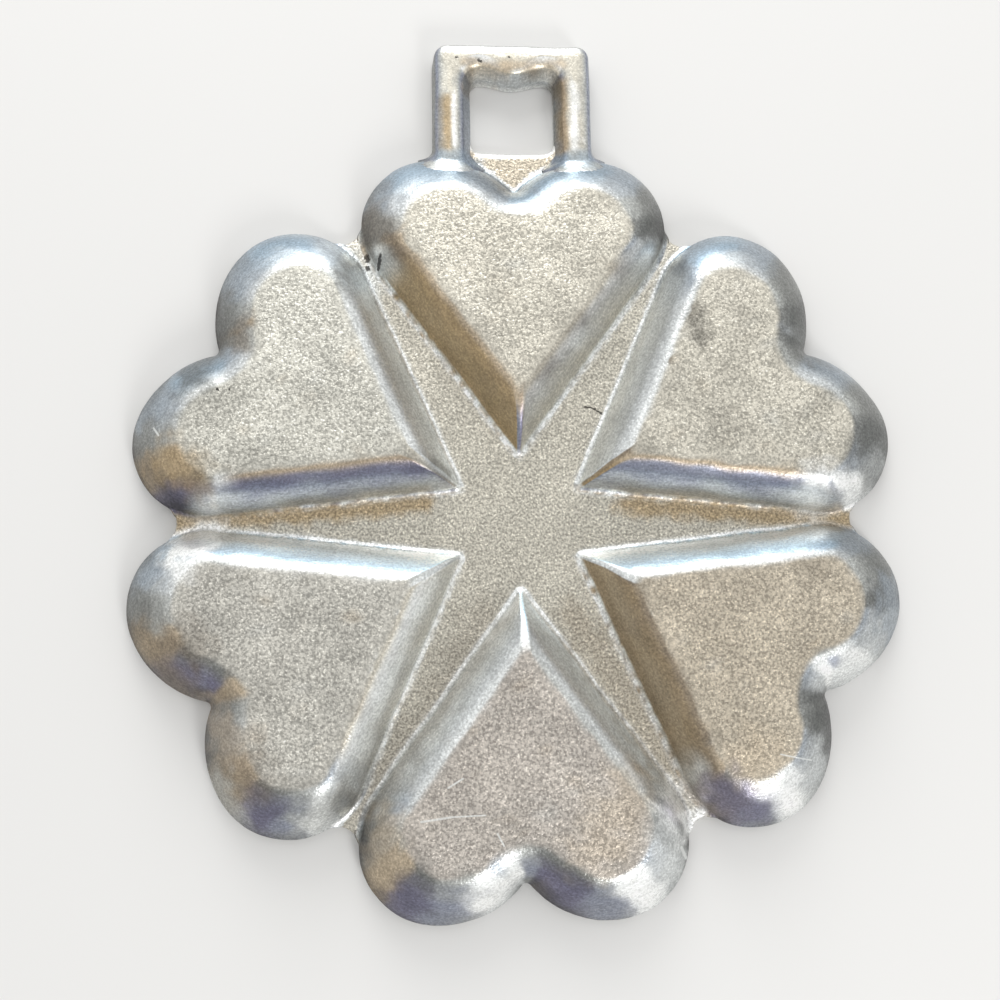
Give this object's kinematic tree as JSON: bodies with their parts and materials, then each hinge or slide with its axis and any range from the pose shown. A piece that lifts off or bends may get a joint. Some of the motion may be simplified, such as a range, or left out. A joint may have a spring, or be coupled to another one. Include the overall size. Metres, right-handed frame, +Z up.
{
  "type": "cast iron muffin pan",
  "caption": "Round cast muffin pan with a ring of heart-shaped cups, tips inward, a flat web between them and a squared loop handle, lying face down.",
  "frame": {"origin": "centre of the ring of cups, on the plane of the rims, which the pan lies on face down", "axes": "+Z up, from the rims to the flat backs of the cups; +Y from the ring's centre to the handle; +X to the right"},
  "size_m": [0.212, 0.2467, 0.016],
  "materials": {
    "cast_metal": "bright burnished sand casting with a fine grain on the flat faces"
  },
  "bodies": {
    "root": {"heart_cup_1": "cast_metal", "heart_cup_2": "cast_metal", "heart_cup_3": "cast_metal", "heart_cup_4": "cast_metal", "heart_cup_5": "cast_metal", "heart_cup_6": "cast_metal", "web_plate": "cast_metal", "handle_loop": "cast_metal", "handle_web": "cast_metal"}
  },
  "joints": []
}
